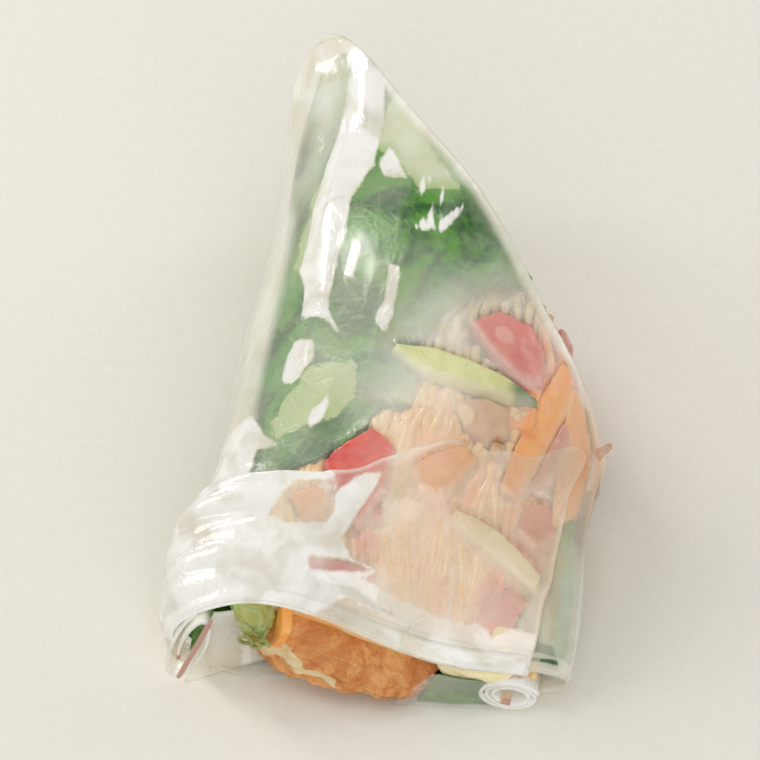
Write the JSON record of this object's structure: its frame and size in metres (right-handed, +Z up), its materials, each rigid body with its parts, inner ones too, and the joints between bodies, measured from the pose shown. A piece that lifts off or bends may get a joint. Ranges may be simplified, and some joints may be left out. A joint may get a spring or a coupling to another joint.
{
  "type": "rice paper roll",
  "caption": "Half of a fresh rice paper roll, cut on the slant, with a leaf lining and a filling of noodles, tofu and raw vegetables.",
  "frame": {"origin": "under the middle of the box that holds the roll, on the surface it lies on", "axes": "+Z up, +Y along the roll from its folded end to the tip of the slanted cut, +X to the side that the cut faces"},
  "size_m": [0.0472, 0.0844, 0.0321],
  "materials": {
    "rice_paper": "wet, glossy and milky, half see-through",
    "leaf": "fresh soft leaf with fine veins, satin",
    "leaf_pale": "pale inner leaf, satin",
    "tomato": "wet cut tomato",
    "cucumber": "wet cut cucumber, darker at its skin",
    "carrot": "raw cut carrot, satin",
    "onion": "raw red onion, white inside and purple at its skin",
    "mushroom": "fried brown mushroom, satin",
    "omelette": "soft pale omelette",
    "tofu": "fried tofu, pale inside",
    "fried_tofu": "browned and rough, slightly oily",
    "noodles": "soft rice noodles, half see-through",
    "daikon": "raw white radish, wet",
    "pepper": "raw red pepper"
  },
  "bodies": {
    "root": {"rice_paper": "rice_paper", "leaf_lining": "leaf", "leaf_fold": "leaf_pale", "lettuce_frill": "leaf_pale", "lettuce_piece": "leaf_pale", "tomato_slice_back": "tomato", "cucumber_strip": "cucumber", "carrot_stick_long": "carrot", "onion_strip_side": "onion", "mushroom_slice": "mushroom", "tomato_dice": "tomato", "carrot_dice": "carrot", "carrot_slice_left": "carrot", "omelette_strip": "omelette", "tomato_slice_side": "tomato", "tomato_slice_front": "tomato", "pepper_strip": "pepper", "tofu_cube_a": "tofu", "tofu_cube_b": "tofu", "tofu_cube_c": "tofu", "tomato_wedge": "tomato", "mushroom_a": "mushroom", "mushroom_b": "mushroom", "mushroom_c": "mushroom", "daikon_chunk": "daikon", "daikon_wedge": "daikon", "onion_arc": "onion", "onion_wedge": "onion", "onion_strip": "onion", "onion_end_high": "onion", "onion_end_low": "onion", "carrot_stick_top": "carrot", "carrot_shreds": "carrot", "cucumber_shreds": "cucumber", "noodles_back": "noodles", "noodles_front": "noodles", "carrot_sliver": "carrot", "omelette_fold": "omelette", "fried_tofu": "fried_tofu"}
  },
  "joints": []
}
